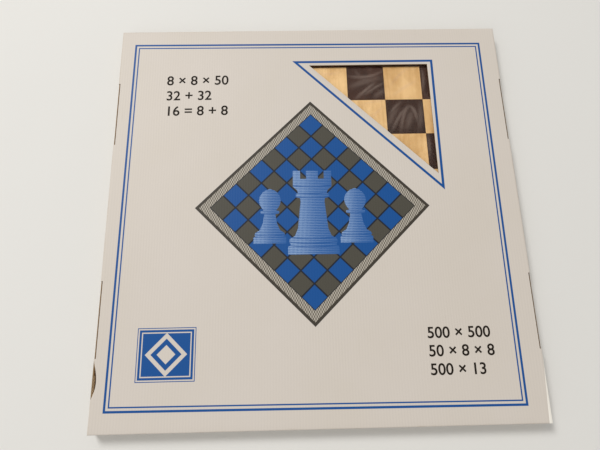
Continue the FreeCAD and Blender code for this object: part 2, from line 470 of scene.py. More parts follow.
class FluteRipple(Effect):
    """Washboard lines that the flutes press through the liner of corrugated card."""

    NAME = "flute_ripple"
    TAKES = {"Along": "value", "Place": "vector"}
    GIVES = {"Height": "value"}
    PITCH = 3.3
    WANDER = Noise(0.013, 2.0)
    WANDER_TURN = 5.0
    PLACES = Noise(0.021, 3.0, rise=(0.3, 0.7))

    def wire(self) -> None:
        """Make a wave across the flutes, stronger in some places than in others."""
        g = self.graph
        phase = g.times(self.taken["Along"], 2 * math.pi / self.PITCH)
        wander = g.noise(self.taken["Place"], self.WANDER)
        wave = g.calc("SINE", g.plus(phase, g.times(wander, self.WANDER_TURN)))
        strength = g.noise(self.taken["Place"], self.PLACES)
        self.give(Height=g.times(wave, g.scaled(strength, 0.7, 0.3)))


class PaperTooth(Effect):
    """Coated white liner: faint cloudiness, fine tooth and a few scuffs."""

    NAME = "paper_tooth"
    TAKES = {"Place": "vector", "Paper": "colour"}
    GIVES = {"Colour": "colour", "Roughness": "value", "Height": "value"}
    CLOUD = paint(196, 186, 166)
    SPECK = paint(170, 160, 142)
    SCUFF = paint(180, 172, 158)
    CLOUDS = Noise(0.008, 4.0, 0.6, rise=(0.35, 0.68))
    SPECKS = Noise(1.3, 2.0, 0.6, rise=(0.72, 0.82))
    SCRATCHES = Noise(0.55, 3.0, 0.65, (0.5, 0.035, 0.5), (0.66, 0.74))
    TOOTH = Noise(2.2, 3.0, 0.7)
    ROUGHNESS = 0.44

    def wire(self) -> None:
        """Tone the paper's colour and give it a tooth."""
        g = self.graph
        place = self.taken["Place"]
        cloud = g.noise(place, self.CLOUDS)
        toned = g.over(self.taken["Paper"], cloud, self.CLOUD, strength=0.16)
        toned = g.over(toned, g.noise(place, self.SPECKS), self.SPECK, strength=0.25)
        scuff = g.times(g.noise(place, self.SCRATCHES), g.between(cloud, 0.3, 0.9))
        toned = g.over(toned, scuff, self.SCUFF, strength=0.18)
        tooth = g.noise(place, self.TOOTH)
        rough = g.scaled(scuff, 0.16, self.ROUGHNESS)
        self.give(Colour=toned, Roughness=g.scaled(tooth, 0.12, rough), Height=tooth)


class KraftFibre(Effect):
    """Bare brown liner with its long fibres and dark flecks."""

    NAME = "kraft_fibre"
    TAKES = {"Place": "vector"}
    GIVES = {"Colour": "colour", "Height": "value"}
    PALE = paint(178, 141, 97)
    DEEP = paint(166, 128, 86)
    FIBRE = paint(206, 173, 128)
    FLECK = paint(104, 74, 46)
    MOTTLE = Noise(0.05, 4.0, 0.65, rise=(0.3, 0.7))
    FIBRES = Noise(0.9, 3.0, 0.7, (2.2, 0.45, 2.2))
    FLECKS = Noise(0.8, 1.0, rise=(0.7, 0.76))

    def wire(self) -> None:
        """Lay fibres and flecks over a mottled brown."""
        g = self.graph
        place = self.taken["Place"]
        colour = g.mix(g.noise(place, self.MOTTLE), self.PALE, self.DEEP)
        fibre = g.noise(place, self.FIBRES)
        colour = g.over(colour, g.between(fibre, 0.5, 0.72), self.FIBRE, strength=0.5)
        fleck = g.noise(place, self.FLECKS)
        self.give(Colour=g.over(colour, fleck, self.FLECK, strength=0.6), Height=fibre)


class FluteEdge(Effect):
    """Raw cut edge of corrugated card: two liners with the waved middle sheet, and painted shade in the open
    flutes.
    """

    NAME = "flute_edge"
    TAKES = {"Depth": "value", "Along": "value", "Place": "vector"}
    GIVES = {"Colour": "colour", "Height": "value"}
    LINER = 0.56
    SHEET = 0.15
    SWING = 0.44
    COAT = 0.56
    PALE = paint(208, 178, 134)
    DEEP = paint(172, 138, 96)
    HOLLOW_SHADE = paint(92, 70, 47)
    FRAY = Noise(1.1, 3.0, 0.7)

    def wire(self) -> None:
        """Draw the wave by depth towards the white side and distance across the flutes."""
        g = self.graph
        depth = self.taken["Depth"]
        fray = g.noise(self.taken["Place"], self.FRAY)
        wave = g.times(g.wave(self.taken["Along"], FluteRipple.PITCH), self.SWING)
        off_wave = g.plus(g.size(g.minus(depth, wave)), g.scaled(fray, 0.2, -0.1))
        middle = g.between(off_wave, self.SHEET + 0.08, self.SHEET)
        liner = g.between(g.size(depth), self.LINER - 0.05, self.LINER + 0.05)
        solid = g.most(middle, liner)
        # Painted shade: the open flutes between the liners and the middle sheet get a dark colour.
        colour = g.mix(solid, self.HOLLOW_SHADE, g.mix(fray, self.DEEP, self.PALE))
        coat = g.between(depth, self.COAT - 0.04, self.COAT + 0.04)
        self.give(Colour=g.over(colour, coat, WHITE_PAPER, strength=0.8), Height=solid)


class EdgeRub(Effect):
    """Wear along an edge, by the distance from it."""

    NAME = "edge_rub"
    TAKES = {"Distance": "value", "Reach": "value", "Place": "vector"}
    GIVES = {"Mask": "value"}
    PATCHES = Noise(0.035, 3.0, rise=(0.42, 0.66))
    GRIT = Noise(0.7, 4.0, 0.7, rise=(0.42, 0.62))

    def wire(self) -> None:
        """Break up a band along the edge with noise."""
        g = self.graph
        near = g.between(self.taken["Distance"], self.taken["Reach"], 0.0)
        broken = [g.noise(self.taken["Place"], kind) for kind in (self.PATCHES, self.GRIT)]
        self.give(Mask=g.times(near, *broken))


class WoodGrain(Effect):
    """Sliced veneer with its grain along Y: growth bands, fibres and pores."""

    NAME = "wood_grain"
    TAKES = {"Place": "vector", "Seed": "value", "Pale": "colour", "Deep": "colour", "Pore": "colour"}
    GIVES = {"Colour": "colour", "Roughness": "value", "Height": "value"}
    SEED_MOVE = (731.0, 417.0)
    BAND_TURN = 0.62
    BAND_SWAY = 34.0
    SWAY = Noise(1.0, 3.0, by=(0.05, 0.006, 0.05))
    FIGURE = Noise(1.0, 4.0, 0.6, (0.11, 0.009, 0.11), (0.3, 0.7))
    FIBRES = Noise(1.0, 3.0, 0.6, (2.6, 0.05, 2.6))
    FLAMES = Noise(1.0, 3.0, 0.55, (0.035, 0.022, 0.035), (0.4, 0.64))
    PORES = Noise(1.0, 1.0, by=(3.4, 0.16, 3.4), rise=(0.66, 0.76))

    def wire(self) -> None:
        """Lay bands, fibres and pores, all moved and leaned a little by the seed."""
        g = self.graph
        x, y, z = g.parts(self.taken["Place"])
        seed = self.taken["Seed"]
        lean = g.scaled(seed, 0.14, -0.07)
        across = g.plus(g.scaled(y, lean, x), g.times(seed, self.SEED_MOVE[0]))
        place = g.vector(across, g.scaled(seed, self.SEED_MOVE[1], y), z)
        sway = g.noise(place, self.SWAY)
        swing = g.scaled(sway, self.BAND_SWAY, g.times(across, self.BAND_TURN))
        fibre = g.noise(place, self.FIBRES)
        tone = g.scaled(seed, 0.36, -0.22)
        for layer, strength in (
            (g.scaled(g.calc("SINE", swing), 0.5, 0.5), 0.12),
            (g.noise(place, self.FIGURE), 0.26),
            (g.between(fibre, 0.3, 0.7), 0.18),
            (g.noise(place, self.FLAMES), 0.5),
        ):
            tone = g.scaled(layer, strength, tone)
        colour = g.over(self.taken["Pale"], tone, self.taken["Deep"], strength=0.92)
        pore = g.noise(place, self.PORES)
        self.give(
            Colour=g.over(colour, pore, self.taken["Pore"], strength=0.55),
            Roughness=g.scaled(fibre, 0.16, 0.3),
            Height=g.minus(g.times(fibre, 0.4), pore),
        )


class PieceShape(Effect):
    """Outline of a plain turned game piece: a width that changes with height, and its turned rings."""

    TAKES = {"X": "value", "Y": "value", "Tall": "value", "Wide": "value"}
    GIVES = {"Mask": "value", "Ring": "value", "Rise": "value", "Side": "value"}
    RING = 0.006
    BOW = 0.02

    def __init__(self, name: str, profile: list[Point], rings: list[float]) -> None:
        """Make the group for one profile.

        Args:
            name: The group's name.
            profile: Pairs of height and half width, both as shares of the largest.
            rings: The heights of its turned rings, as shares of the whole.
        """
        self.NAME = name
        self.profile = profile
        self.rings = rings
        super().__init__()

    def wire(self) -> None:
        """Compare the distance from the middle line with the width at that height."""
        g = self.graph
        rise = g.calc("DIVIDE", self.taken["Y"], self.taken["Tall"])
        side = g.calc("DIVIDE", self.taken["X"], self.taken["Wide"])
        curve = g.node("ShaderNodeFloatCurve", {"Value": rise})
        line = curve.mapping.curves[0]
        while len(line.points) < len(self.profile):
            line.points.new(0.5, 0.5)
        for point, place in zip(line.points, sorted(self.profile)):
            point.location = place
            point.handle_type = "VECTOR"
        curve.mapping.update()
        inside = g.between(g.minus(g.size(side), curve.outputs["Value"]), 0.01, -0.01)
        above = g.between(rise, -0.001, 0.001)
        below = g.between(rise, 1.001, 0.999)
        mask = g.times(inside, above, below)
        bowed = g.minus(rise, g.times(side, side, self.BOW))
        ring: Feed = 0.0
        for height in self.rings:
            off = g.size(g.minus(bowed, height))
            ring = g.most(ring, g.between(off, self.RING * 1.3, self.RING * 0.7))
        self.give(Mask=mask, Ring=g.times(ring, mask), Rise=rise, Side=side)


ROOK_PROFILE = [
    (0.0, 1.0), (0.085, 1.0), (0.11, 0.9), (0.125, 0.9), (0.14, 0.96), (0.18, 0.92), (0.215, 0.72),
    (0.3, 0.6), (0.62, 0.48), (0.66, 0.5), (0.67, 0.66), (0.71, 0.66), (0.72, 0.58), (0.76, 0.62),
    (0.8, 0.78), (1.0, 0.78),
]
PAWN_PROFILE = [
    (0.0, 1.0), (0.11, 1.0), (0.135, 0.86), (0.15, 0.94), (0.19, 0.88), (0.24, 0.62), (0.36, 0.44),
    (0.53, 0.34), (0.54, 0.58), (0.585, 0.58), (0.6, 0.38), (0.64, 0.5), (0.7, 0.62), (0.78, 0.68),
    (0.86, 0.62), (0.93, 0.46), (0.97, 0.28), (1.0, 0.0),
]
ROOK_RINGS = [0.085, 0.125, 0.18, 0.665, 0.715, 0.8]
PAWN_RINGS = [0.1, 0.14, 0.19, 0.535, 0.585]


@dataclass(frozen=True)
class Inks:
    """The printer's colours."""

    blue: Colour = paint(3, 75, 142)
    grey: Colour = paint(73, 70, 61)
    joint: Colour = paint(10, 15, 26)
    outline: Colour = paint(60, 54, 45)
    band_pale: Colour = paint(181, 173, 160)
    band_deep: Colour = paint(96, 90, 79)
    piece: Colour = paint(34, 88, 152)
    hatch: Colour = paint(158, 184, 216)


@dataclass(frozen=True)
class Spot:
    """A point of the surface as a flat drawing counts it: right of and above the drawing's middle.

    All distances are in millimetres, and one past an outline is below nothing inside it.
    """

    g: Graph
    x: Socket
    y: Socket

    def moved(self, middle: Point) -> "Spot":
        """The same point, counted from another middle."""
        return Spot(self.g, self.g.minus(self.x, middle[0]), self.g.minus(self.y, middle[1]))

    def turned(self, degrees: float) -> "Spot":
        """The same point, counted along a drawing that lies turned.

        Args:
            degrees: How far the drawing lies clockwise.

        Returns:
            The point, counted along the drawing's own width and height.
        """
        level, steep = math.cos(math.radians(degrees)), math.sin(math.radians(degrees))
        across = self.g.scaled(self.x, level, self.g.times(self.y, -steep))
        return Spot(self.g, across, self.g.scaled(self.x, steep, self.g.times(self.y, level)))

    def past_box(self, half: Point, inset: float = 0.0) -> Socket:
        """Distance past an upright rectangle, by half its width and height, less an inset."""
        sides = zip((self.x, self.y), half)
        return self.g.most(*(self.g.minus(self.g.size(value), reach - inset) for value, reach in sides))

    def past_lozenge(self, reach: float) -> Socket:
        """Distance past a square on its corner, along its diagonal, by half that diagonal."""
        return self.g.minus(self.g.plus(self.g.size(self.x), self.g.size(self.y)), reach)

    def past_outline(self, corners: tuple[Point, ...]) -> Socket:
        """Distance past an outline with straight sides.

        Args:
            corners: The outline's corners, clockwise.

        Returns:
            The distance.
        """
        past = []
        for start, out in sides_of(corners):
            level = self.g.scaled(self.y, out.y, -out.dot(start))
            past.append(self.g.plus(self.g.times(self.x, out.x), level))
        return self.g.most(*past)


class FrontPrint(Effect):
    """The front panel's print: ruled frames, a lozenge of squares with turned pieces, and a plain emblem.

    All sizes are in millimetres, and the print's turn on the panel is in degrees.
    """

    NAME = "front_print"
    TAKES = {"Place": "vector"}
    GIVES = {"Ink": "colour", "Mask": "value"}
    SOFT = 0.14
    TURN = 0.36
    SHIFT = (-3.37, -0.65)
    FRAME = (235.77, 234.25)
    FRAME_LINE = 2.6
    RULE = (230.67, 229.15)
    RULE_LINE = 1.6
    LOZENGE = 145.5
    LOZENGE_LINE = 5.1
    LOZENGE_SHIFT = (0.57, 0.51)
    FIELD = 127.2
    CELLS = 8
    JOINT = 0.95
    BAND_PITCH = (3.0, 5.4)
    ROOK_SIZE = (31.0, 108.0)
    ROOK_FOOT = 60.0
    ROOK_NOTCH = 0.36
    PAWN_SIZE = (20.0, 70.0)
    PAWN_FOOT = 46.0
    PAWN_ASIDE = 53.0
    HATCH_PITCH = (1.6, 2.1)
    WINDOW = ((-24.4, 206.7), (166.2, 206.4), (164.3, 19.4))
    WINDOW_LINE = 3.2
    EMBLEM = (-174.5, -172.5)
    EMBLEM_HALF = (33.5, 29.8)
    EMBLEM_LINE = 0.9
    EMBLEM_BLOCK = 2.4
    EMBLEM_BARS = 5.0
    EMBLEM_BARS_LINE = 1.3
    EMBLEM_RING = 24.0
    EMBLEM_RING_LINE = 6.4
    EMBLEM_HEART = 10.6
    GRAIN = Noise(0.35, 2.0)
    WEAR = Noise(0.9, 3.0, 0.7, rise=(0.78, 0.6))

    def __init__(self, inks: Inks) -> None:
        """Make the group.

        Args:
            inks: The printer's colours.
        """
        self.inks = inks
        self.rook = PieceShape("rook_outline", ROOK_PROFILE, ROOK_RINGS)
        self.pawn = PieceShape("pawn_outline", PAWN_PROFILE, PAWN_RINGS)
        super().__init__()

    def inside(self, past: Feed) -> Socket:
        """Be 1 where a distance past an outline is below nothing, with a slightly soft rim."""
        return self.graph.between(past, self.SOFT, -self.SOFT)

    def line(self, past: Socket, width: float) -> Socket:
        """Be 1 on a line of some width that runs along the inside of an outline."""
        return self.graph.minus(self.inside(past), self.inside(self.graph.plus(past, width)))

    def squares(self, at: Spot) -> Socket:
        """Colour the lozenge's squares, with dark joints between them.

        Args:
            at: The point on the lozenge.

        Returns:
            The colour.
        """
        g = self.graph
        cell = self.FIELD * math.sqrt(2) / self.CELLS
        steps, joints = [], []
        for operation in ("ADD", "SUBTRACT"):
            slant = g.times(g.calc(operation, at.x, at.y), math.sqrt(0.5) / cell)
            steps.append(g.calc("FLOOR", slant))
            middle = g.size(g.minus(g.calc("FRACT", slant), 0.5))
            joints.append(g.times(g.minus(0.5, middle), cell))
        odd = g.calc("FLOORED_MODULO", g.plus(*steps), 2.0)
        colour = g.mix(g.calc("GREATER_THAN", odd, 0.5), self.inks.grey, self.inks.blue)
        joint = g.between(g.calc("MINIMUM", *joints), self.JOINT + self.SOFT, self.JOINT - self.SOFT)
        return g.over(colour, joint, self.inks.joint, strength=0.9)

    def band(self, at: Spot) -> Socket:
        """Colour the finely hatched border of the lozenge.

        Args:
            at: The point on the lozenge.

        Returns:
            The colour.
        """
        g = self.graph
        weave = g.times(g.wave(at.x, self.BAND_PITCH[0]), g.wave(at.y, self.BAND_PITCH[1]))
        share = g.between(g.scaled(weave, 0.5, 0.5), 0.3, 0.7)
        return g.mix(share, self.inks.band_deep, self.inks.band_pale)

    def pieces(self, at: Spot) -> tuple[Socket, Socket]:
        """Colour a rook between two pawns.

        Args:
            at: The point on the lozenge.

        Returns:
            The pieces' colour and their mask.
        """
        g = self.graph
        (wide, tall), foot = self.ROOK_SIZE, g.plus(at.y, self.ROOK_FOOT)
        rook = g.use(self.rook, X=at.x, Y=foot, Tall=tall, Wide=wide)
        notch = g.size(g.minus(g.size(rook["Side"]), self.ROOK_NOTCH))
        notch = g.times(g.between(notch, 0.13, 0.11), g.between(rook["Rise"], 0.895, 0.9))
        mask = g.times(rook["Mask"], g.minus(1.0, notch))
        (wide, tall), foot = self.PAWN_SIZE, g.plus(at.y, self.PAWN_FOOT)
        pawn = g.use(self.pawn, X=g.minus(g.size(at.x), self.PAWN_ASIDE), Y=foot, Tall=tall, Wide=wide)
        turned = g.times(pawn["Side"], g.calc("SIGN", at.x))
        shade = g.scaled(pawn["Mask"], turned, g.times(rook["Mask"], rook["Side"]))
        grain = g.noise(g.vector(at.x, at.y), self.GRAIN)
        level = g.wave(g.scaled(grain, 0.8, at.y), self.HATCH_PITCH[1])
        steep = g.times(g.wave(at.x, self.HATCH_PITCH[0]), g.between(shade, 0.25, -0.35))
        hatch = g.times(g.between(g.most(level, steep), 0.1, 0.95), g.between(shade, 1.1, -0.7))
        colour = g.over(self.inks.piece, hatch, self.inks.hatch, strength=0.85)
        colour = g.over(colour, g.most(rook["Ring"], pawn["Ring"]), self.inks.blue, strength=0.75)
        return colour, g.most(mask, pawn["Mask"])

    def emblem(self, at: Spot) -> Socket:
        """Mask a blue block with a thin line round it and bare lozenges in it.

        Args:
            at: The point, counted from the emblem's middle.

        Returns:
            The mask.
        """
        g = self.graph
        frame = self.line(at.past_box(self.EMBLEM_HALF), self.EMBLEM_LINE)
        block = self.inside(at.past_box(self.EMBLEM_HALF, self.EMBLEM_BLOCK))
        bare = g.most(
            self.line(at.past_lozenge(self.EMBLEM_RING), self.EMBLEM_RING_LINE),
            self.inside(at.past_lozenge(self.EMBLEM_HEART)),
            self.line(at.past_box(self.EMBLEM_HALF, self.EMBLEM_BARS), self.EMBLEM_BARS_LINE),
        )
        return g.most(frame, g.minus(block, bare))

    def wire(self) -> None:
        """Put the print together from the back to the front."""
        g = self.graph
        panel = Spot(g, *g.parts(self.taken["Place"])[:2])
        sheet = panel.moved(self.SHIFT).turned(self.TURN)
        art = sheet.moved(self.LOZENGE_SHIFT)
        blue = g.most(
            self.line(sheet.past_box(self.FRAME), self.FRAME_LINE),
            self.line(sheet.past_box(self.RULE), self.RULE_LINE),
            self.line(panel.past_outline(self.WINDOW), self.WINDOW_LINE),
            self.emblem(panel.moved(self.EMBLEM)),
        )
        reaches = (self.LOZENGE, self.LOZENGE - self.LOZENGE_LINE, self.FIELD)
        whole, within, middle = (self.inside(art.past_lozenge(reach)) for reach in reaches)
        ink = g.mix(whole, self.inks.blue, self.inks.outline)
        ink = g.mix(within, ink, self.band(art))
        ink = g.mix(middle, ink, self.squares(art))
        colour, mask = self.pieces(art)
        wear = g.noise(self.taken["Place"], self.WEAR)
        self.give(
            Ink=g.mix(mask, ink, colour),
            Mask=g.times(g.most(blue, whole), g.scaled(wear, 0.015, 0.98)),
        )


@dataclass(frozen=True)
class Effects:
    """Every shared effect, built once."""

    ripple: FluteRipple
    tooth: PaperTooth
    fibre: KraftFibre
    edge: FluteEdge
    rub: EdgeRub
    grain: WoodGrain
    print: FrontPrint

    @classmethod
    def build(cls) -> "Effects":
        """Build the node groups."""
        plain = [kind() for kind in (FluteRipple, PaperTooth, KraftFibre, FluteEdge, EdgeRub, WoodGrain)]
        return cls(*plain, FrontPrint(Inks()))


class Finish:
    """One material: its tree, its shader and where it reads places from."""

    def __init__(self, name: str) -> None:
        """Make an empty material with one shader.

        Args:
            name: The material's name.
        """
        self.material = bpy.data.materials.new(name)
        self.material.use_nodes = True
        self.material.node_tree.nodes.clear()
        self.graph = Graph(self.material.node_tree)
        self.shader = self.graph.node("ShaderNodeBsdfPrincipled")
        self.output = self.graph.node("ShaderNodeOutputMaterial", {"Surface": self.shader.outputs[0]})
        self.reads = self.graph.node("ShaderNodeTexCoord").outputs
        self.place = self.graph.stretch(self.reads["Object"], (1 / MM, 1 / MM, 1 / MM))

    def set(self, **values: Feed) -> None:
        """Feed the shader's sockets, with words in their names joined by an underscore."""
        for name, value in values.items():
            self.graph.feed(self.shader.inputs[name.replace("_", " ")], value)

    def bump(self, height: Feed) -> None:
        """Bend the surface's normals by a height in millimetres."""
        feeds = {"Strength": 1.0, "Distance": MM, "Height": height}
        self.set(Normal=self.graph.node("ShaderNodeBump", feeds).outputs[0])

    def facing(self, way: Facing) -> Socket:
        """How far the surface faces one way, from -1 to 1."""
        feeds = {0: self.reads["Normal"], 1: way.value}
        return self.graph.node("ShaderNodeVectorMath", feeds, operation="DOT_PRODUCT").outputs["Value"]


class Recipe:
    """How one kind of surface is made up."""

    def build(self, name: str) -> Material:
        """Build a material.

        Args:
            name: The material's name.

        Returns:
            The material.
        """
        finish = Finish(name)
        self.wire(finish)
        return finish.material

    def wire(self, finish: Finish) -> None:
        """Feed a finish's shader."""
        raise NotImplementedError


@dataclass(frozen=True)
class CardFinish(Recipe):
    """Corrugated card with one white side, one brown side and raw edges.

    Attributes:
        effects: The shared effects.
        white: The white side's direction.
        across: The axis that crosses the flutes.
        middle: Where the card's middle is along the white side's axis, in millimetres.
        half: Half the panel's width and height in millimetres, for a printed panel whose rim is folded.
        lit_lip: How far up the right side a painted highlight on a soft corner's lip starts, and its width.
        bend: Where a bend towards the white side starts and ends, by the distance from the middle along Y,
            and how far the card goes over there.
        dusk: The painted shade that raw edges facing up take on, where they lie in a notch.
    """

    effects: Effects
    white: Facing
    across: Axis
    middle: float
    half: Point | None = None
    lit_lip: Point | None = None
    bend: Place | None = None
    dusk: Colour | None = None
    # Painted shade that follows the flute ripple's washboard lines.
    furrow_shade: Colour = paint(120, 112, 100)
    rubbed: Colour = paint(176, 160, 134)
    rub_reach: float = 2.6
    fold: Point = (1.5, 1.3)
    # Painted highlight colour for the soft corner's lip.
    lip_highlight: Colour = paint(250, 245, 234)
    ripple: float = 0.018
    tooth: float = 0.006

    def wire(self, finish: Finish) -> None:
        """Choose between white side, brown side and raw edge by where the surface faces.

        Args:
            finish: The finish to feed.
        """
        g = finish.graph
        place, effects = finish.place, self.effects
        axes = g.parts(place)
        along = axes[self.across.value]
        faces = finish.facing(self.white)
        outside = g.between(faces, 0.2, 0.3)
        inside = g.between(faces, -0.2, -0.3)
        tooth = g.use(effects.tooth, Place=place, Paper=WHITE_PAPER)
        wash = g.use(effects.ripple, Along=along, Place=place)["Height"]
        # Painted shade: the paper's colour darkens a little with the flute ripple, standing in for the
        # shading of its lines.
        colour = g.mix(g.scaled(wash, 0.03, 0.03), tooth["Colour"], self.furrow_shade)
        if self.half:
            rim = g.times(Spot(g, *axes[:2]).past_box(self.half), -1.0)
            outside = g.most(outside, g.between(rim, *self.fold))
            art = g.use(effects.print, Place=place)
            colour = g.mix(art["Mask"], colour, art["Ink"])
            rub = g.use(effects.rub, Distance=rim, Reach=self.rub_reach, Place=place)["Mask"]
            colour = g.over(colour, rub, self.rubbed, strength=0.55)
        # Painted highlight: a paler stripe along the lip of the soft lower right corner, wider towards the
        # bottom.
        if self.half and self.lit_lip:
            start, wide = self.lit_lip
            reach = g.times(g.between(axes[1], start, -self.half[1]), wide)
            off = g.minus(g.minus(self.half[0], axes[0]), reach)
            colour = g.over(colour, g.between(off, 0.2, -0.2), self.lip_highlight, strength=0.9)
        brown = g.use(effects.fibre, Place=place)
        depth = g.minus(axes[self.white.axis.value], self.middle)
        depth = g.times(depth, sum(self.white.value))
        if self.bend:
            start, end, step = self.bend
            depth = g.scaled(g.between(g.size(axes[1]), start, end), -step, depth)
        raw = g.use(effects.edge, Depth=depth, Along=along, Place=place)
        edge = raw["Colour"]
        # Painted shade on the lock tabs' raw top edges, deep in the front's notches.
        if self.dusk:
            edge = g.over(edge, g.between(finish.facing(Facing.UP), 0.5, 0.9), self.dusk, strength=0.8)
        shown = g.mix(inside, edge, brown["Colour"])
        finish.set(
            Base_Color=g.mix(outside, shown, colour),
            Roughness=g.level(outside, 0.88, tooth["Roughness"]),
            Specular_IOR_Level=0.22,
        )
        height = g.scaled(wash, self.ripple, g.times(tooth["Height"], self.tooth))
        height = g.plus(height, g.times(brown["Height"], inside, 0.02))
        finish.bump(g.level(g.most(outside, inside), g.times(raw["Height"], 0.3), height))


@dataclass(frozen=True)
class VeneerFinish(Recipe):
    """Varnished veneer, laid as squares or as one strip.

    Attributes:
        effects: The shared effects.
        pale: The wood between its bands.
        deep: The wood in its bands.
        pore: Its pores.
        along: The axis that the grain runs along.
        origin: Where the corner of a square is, in millimetres, or nothing for one strip.
        side: A square's side in millimetres.
        joint: How wide the joint round a square is.
        strip_seed: What moves the grain of a strip.
    """

    effects: Effects
    pale: Colour
    deep: Colour
    pore: Colour
    along: Axis = Axis.Y
    origin: Point | None = None
    side: float = 50.0
    joint: float = 0.16
    strip_seed: float = 0.37

    def wire(self, finish: Finish) -> None:
        """Lay the grain, with its own cast and joint for each square.

        Args:
            finish: The finish to feed.
        """
        g = finish.graph
        x, y, z = g.parts(finish.place)
        seed: Feed = self.strip_seed
        gap: Feed | None = None
        if self.origin:
            steps, gaps = [], []
            for value, start in zip((x, y), self.origin):
                share = g.calc("DIVIDE", g.minus(value, start), self.side)
                steps.append(g.calc("FLOOR", share))
                off = g.size(g.minus(g.calc("FRACT", share), 0.5))
                gaps.append(g.times(g.minus(0.5, off), self.side))
            feeds = {"Vector": g.vector(*steps)}
            seed = g.node("ShaderNodeTexWhiteNoise", feeds, noise_dimensions="2D").outputs["Value"]
            gap = g.between(g.calc("MINIMUM", *gaps), self.joint * 2, self.joint)
        place = g.vector(y, x, z) if self.along is Axis.X else finish.place
        tones = {"Pale": self.pale, "Deep": self.deep, "Pore": self.pore}
        wood = g.use(self.effects.grain, Place=place, Seed=seed, **tones)
        colour = wood["Colour"]
        if gap is not None:
            colour = g.mix(g.scaled(seed, 0.3, -0.06), colour, self.deep)
            colour = g.over(colour, gap, self.pore, strength=0.6)
        finish.set(
            Base_Color=colour,
            Roughness=wood["Roughness"],
            Specular_IOR_Level=0.2,
            Coat_Weight=0.05,
            Coat_Roughness=0.25,
        )
        finish.bump(g.times(wood["Height"], 0.012))


@dataclass(frozen=True)
class CoreFinish(Recipe):
    """Pressed wood fibre, as it shows under the veneers."""

    pale: Colour = paint(176, 140, 98)
    deep: Colour = paint(122, 90, 56)
    chips: Noise = Noise(0.7, 4.0, 0.7, (1.0, 1.0, 3.0))

    def wire(self, finish: Finish) -> None:
        """Press chips into layers.

        Args:
            finish: The finish to feed.
        """
        g = finish.graph
        chips = g.noise(finish.place, self.chips)
        finish.set(
            Base_Color=g.mix(g.between(chips, 0.32, 0.68), self.deep, self.pale),
            Roughness=g.scaled(chips, 0.2, 0.7),
        )
        finish.bump(g.times(chips, 0.06))


@dataclass(frozen=True)
class FilmFinish(Recipe):
    """Clear wrapping film that turns milky where it is creased, with a painted sheen for its reflections."""

    tint: Colour = paint(238, 213, 197)
    clear: float = 0.01
    milky_sheen: float = 0.08
    grazing_sheen: float = 0.2
    streaks: Noise = Noise(1.0, 4.0, 0.62, (0.16, 0.05, 0.16), (0.56, 0.74))
    ripples: Noise = Noise(1.0, 3.0, by=(0.09, 0.04, 0.09))
    ripple_height: float = 0.8

    def wire(self, finish: Finish) -> None:
        """Whiten the film at creases and streaks, partly milky and partly painted reflection, and paint a
        sheen edge-on.

        Args:
            finish: The finish to feed.
        """
        g = finish.graph
        crease = g.node("ShaderNodeAttribute", attribute_name=CREASE).outputs["Fac"]
        # Crease and streak haze: partly the film's real milkiness, partly painted reflection off its folds.
        haze_and_sheen = g.most(crease, g.times(g.noise(finish.place, self.streaks), 0.22))
        # Painted sheen: the film grows whiter and less clear where it is seen along its face.
        edge_sheen = g.calc("POWER", g.node("ShaderNodeLayerWeight").outputs["Facing"], 4.0)
        finish.set(
            Base_Color=self.tint,
            Roughness=g.scaled(haze_and_sheen, 0.25, 0.12),
            Alpha=g.scaled(edge_sheen, self.grazing_sheen, g.scaled(haze_and_sheen, self.milky_sheen, self.clear)),
        )
        finish.bump(g.times(g.noise(finish.place, self.ripples), self.ripple_height))


@dataclass(frozen=True)
class InkFinish(Recipe):
    """Dark printing ink with a little of the paper's tooth."""

    ink: Colour = paint(30, 22, 14)
    worn: Colour = paint(66, 57, 46)
    tooth: Noise = Noise(1.6, 3.0, 0.7)

    def wire(self, finish: Finish) -> None:
        """Wear the ink a little off the paper's tooth.

        Args:
            finish: The finish to feed.
        """
        g = finish.graph
        tooth = g.noise(finish.place, self.tooth)
        finish.set(
            Base_Color=g.mix(g.between(tooth, 0.56, 0.78), self.ink, self.worn),
            Roughness=g.scaled(tooth, 0.2, 0.55),
            Specular_IOR_Level=0.15,
        )
        finish.bump(g.times(tooth, 0.006))


# The carton


@dataclass(frozen=True)
class Numerals:
    """A block of plain numerals, in millimetres.

    Attributes:
        name: The piece's name.
        rows: The numerals, one row to a line.
        start: Where the first row's baseline starts.
        cap: The numerals' height.
        pitch: From one baseline to the next.
    """

    name: str
    rows: str
    start: Point
    cap: float
    pitch: float


